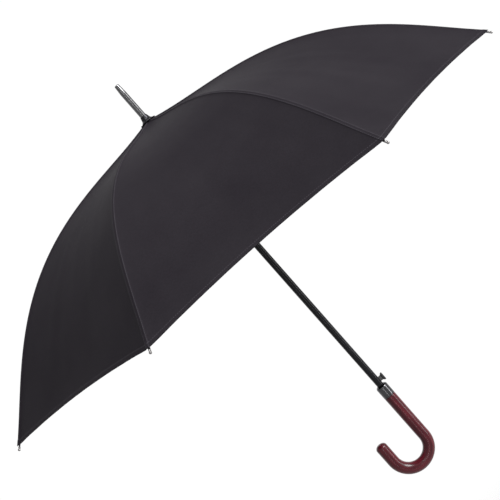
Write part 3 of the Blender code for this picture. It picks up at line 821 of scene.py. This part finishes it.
def make_tips(mat):
    """Small acorn beads over the ends of the ribs."""
    length, r = 0.0070, 0.0021
    lip, bore, depth = 0.0019, 0.0014, 0.0051
    outline = [(0, length, 0), (r * 0.55, length - 0.0002, 0.0004),
               (r * 0.92, length - 0.0010, 0.0006), (r, length - 0.0021, 0.0008),
               (r * 0.80, length - 0.0036, 0.0006), (0.0017, 0.0014, 0.0003),
               (lip, 0.0011, 0.0001), (lip, 0.0006, 0.0001), (bore, 0.0005, 0.0001),
               (bore, depth, 0.0001), (0, depth, 0)]
    slope = float(np.polyval(SLOPE_CUBIC, 1.0))
    end = plain_cloth(np.array([1.0]), np.array([0.0]))[0]
    end = Vector((end[0] - TIP_DROP * math.sin(slope), 0, end[2] - TIP_DROP * math.cos(slope)))
    for rib in range(RIBS):
        mesh = turned_mesh(f"tip_{rib + 1}", rounded(outline, 0.0003, 3), 32, 35)
        mesh.transform(Matrix.Rotation(STEP * (rib + 0.5), 4, "Z") @ Matrix.Translation(end)
                       @ Matrix.Rotation(math.pi / 2 + slope, 4, "Y"))
        obj = new_piece(f"tip_{rib + 1}", mesh, mat)
        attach(obj, f"rib_outer_{rib + 1}")
        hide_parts(f"rib_tip_{rib + 1}")


def finish_cad_nodes(steel, plastic, wire):
    """Materials for the ribs, stretchers, notch and runner, which keep their CAD meshes."""
    for name, obj in frame["nodes"].items():
        mat = None
        if name.startswith(("rib_inner", "rib_outer", "stretcher")):
            mat = steel
        elif name in ("top_notch", "runner"):
            mat = plastic
        elif name == "notch_wire":
            mat = wire
        if mat:
            obj.data.materials.clear()
            obj.data.materials.append(mat)


# ---- studio ---------------------------------------------------------------------------------------------
FLOOR_Z = -1.0
FLOOR_SOLID = 0.9
FLOOR_R = 2.1


def make_floor():
    """A pale floor one metre below the grip, which fades out into the white room."""
    n = Nodes("pale_floor")
    place = n.add("ShaderNodeTexCoord").outputs["Object"]
    reach = n.add("ShaderNodeVectorMath", {0: place}, operation="LENGTH").outputs["Value"]
    grain = n.noise(place, 3.0, 3.0, 0.5)
    fade = n.band(reach, FLOOR_SOLID, FLOOR_R, 1.0, 0.0)
    n.set(Base_Color=n.ramp(grain, 0.3, 0.7, (0.60, 0.60, 0.60), (0.62, 0.62, 0.62)), Roughness=0.9,
          Alpha=n.maths("SMOOTH_MIN", fade, 1.0, 0.05))
    rings, turns = 8, 96
    bm = bmesh.new()
    grid = [[bm.verts.new((FLOOR_R * j / rings * math.cos(2 * math.pi * k / turns),
                           FLOOR_R * j / rings * math.sin(2 * math.pi * k / turns), 0))
             for k in range(turns)] for j in range(1, rings + 1)]
    centre = bm.verts.new((0, 0, 0))
    for k in range(turns):
        bm.faces.new((centre, grid[0][k], grid[0][(k + 1) % turns]))
        for inner, outer in zip(grid, grid[1:]):
            bm.faces.new((inner[k], outer[k], outer[(k + 1) % turns], inner[(k + 1) % turns]))
    mesh = bpy.data.meshes.new("floor")
    bm.to_mesh(mesh)
    bm.free()
    mesh.materials.append(n.mat)
    floor = bpy.data.objects.new("floor", mesh)
    floor.location.z = FLOOR_Z
    bpy.context.scene.collection.objects.link(floor)


def aimed(light, location, target):
    light.location = location
    light.rotation_mode = "QUATERNION"
    light.rotation_quaternion = (Vector(target) - Vector(location)).to_track_quat("-Z", "Y")
    bpy.context.scene.collection.objects.link(light)


def make_softbox(name, location, target, size, power):
    data = bpy.data.lights.new(name, "AREA")
    data.shape = "RECTANGLE"
    data.size, data.size_y = size
    data.energy = power
    aimed(bpy.data.objects.new(name, data), location, target)


def make_world():
    """A white backdrop on the far side of the umbrella, and a dimmer room on the near side."""
    world = bpy.context.scene.world or bpy.data.worlds.new("studio")
    bpy.context.scene.world = world
    world.use_nodes = True
    tree = world.node_tree
    background = tree.nodes["Background"]
    place = tree.nodes.new("ShaderNodeTexCoord")
    parts = tree.nodes.new("ShaderNodeSeparateXYZ")
    ramp = tree.nodes.new("ShaderNodeMapRange")
    ramp.interpolation_type = "SMOOTHSTEP"
    for key, value in (("From Min", -0.2), ("From Max", 0.85), ("To Min", 0.50), ("To Max", 1.02)):
        ramp.inputs[key].default_value = value
    tree.links.new(place.outputs["Generated"], parts.inputs["Vector"])
    tree.links.new(parts.outputs["Y"], ramp.inputs["Value"])
    tree.links.new(ramp.outputs["Result"], background.inputs["Strength"])
    background.inputs["Color"].default_value = (1, 1, 1, 1)


def make_studio():
    make_world()
    bpy.context.scene.view_settings.view_transform = "Standard"
    data = bpy.data.lights.new("key", "SUN")
    data.energy = 3.4
    data.angle = math.radians(28)
    aimed(bpy.data.objects.new("key", data), (2.9, -2.0, 2.1), (0, 0, 0.4))
    make_softbox("strip_right", (1.9, -0.9, 0.40), (0, 0, 0.40), (0.32, 2.8), 26)
    make_softbox("strip_front", (-0.35, -2.6, 0.40), (0, 0, 0.40), (0.16, 2.8), 9)
    make_softbox("top", (0.1, -0.55, 1.45), (0, -0.05, 0.66), (0.4, 0.4), 5)


def make_camera():
    """A view from the side, just below the crown's height, turned so that the shaft leans."""
    data = bpy.data.cameras.new("camera")
    data.sensor_width = 36
    data.lens = 74.97
    camera = bpy.data.objects.new("camera", data)
    bpy.context.scene.collection.objects.link(camera)
    place = Vector((-0.0357, -1.7435, 0.5029))
    ahead = Vector((0.0123, 0.9978, -0.0655))
    lean = math.radians(41.44)
    camera.location = place
    camera.rotation_mode = "QUATERNION"
    camera.rotation_quaternion = ahead.to_track_quat("-Z", "Y") @ Quaternion((0, 0, 1), -lean)
    bpy.context.scene.camera = camera


def main():
    cloth = cloth_material("charcoal_cloth")
    steel = metal_material("zinc_steel", (0.115, 0.115, 0.120), (0.075, 0.075, 0.080), 0.34, 0.50)
    wire = metal_material("spring_steel", (0.090, 0.090, 0.095), (0.060, 0.060, 0.064), 0.30, 0.42)
    chrome = metal_material("chrome_plate", (0.17, 0.17, 0.175), (0.14, 0.14, 0.145), 0.16, 0.22, 0)
    gun = metal_material("gunmetal_collar", (0.12, 0.12, 0.125), (0.085, 0.085, 0.09), 0.16, 0.24, 0)
    nickel = metal_material("nickel_bead", (0.34, 0.33, 0.33), (0.24, 0.23, 0.23), 0.22, 0.34, 0)
    cap = metal_material("gunmetal", (0.034, 0.034, 0.037), (0.020, 0.020, 0.023), 0.26, 0.38)
    lacquer = lacquer_material("black_lacquer_tube", (0.006, 0.006, 0.0075))
    plastic = plastic_material("black_nylon", (0.016, 0.016, 0.018))
    button = plastic_material("black_button", (0.012, 0.012, 0.013), 0.00002, (0.20, 0.30))
    make_camera()
    make_canopy(cloth)
    make_shaft(lacquer)
    make_ferrule(chrome)
    make_crown(cap, cloth_material("black_rosette_cloth", 0.35))
    make_handle(wood_material())
    make_collar(gun)
    make_button(button)
    make_springs(wire)
    make_tips(nickel)
    finish_cad_nodes(steel, plastic, wire)
    make_floor()
    make_studio()


main()
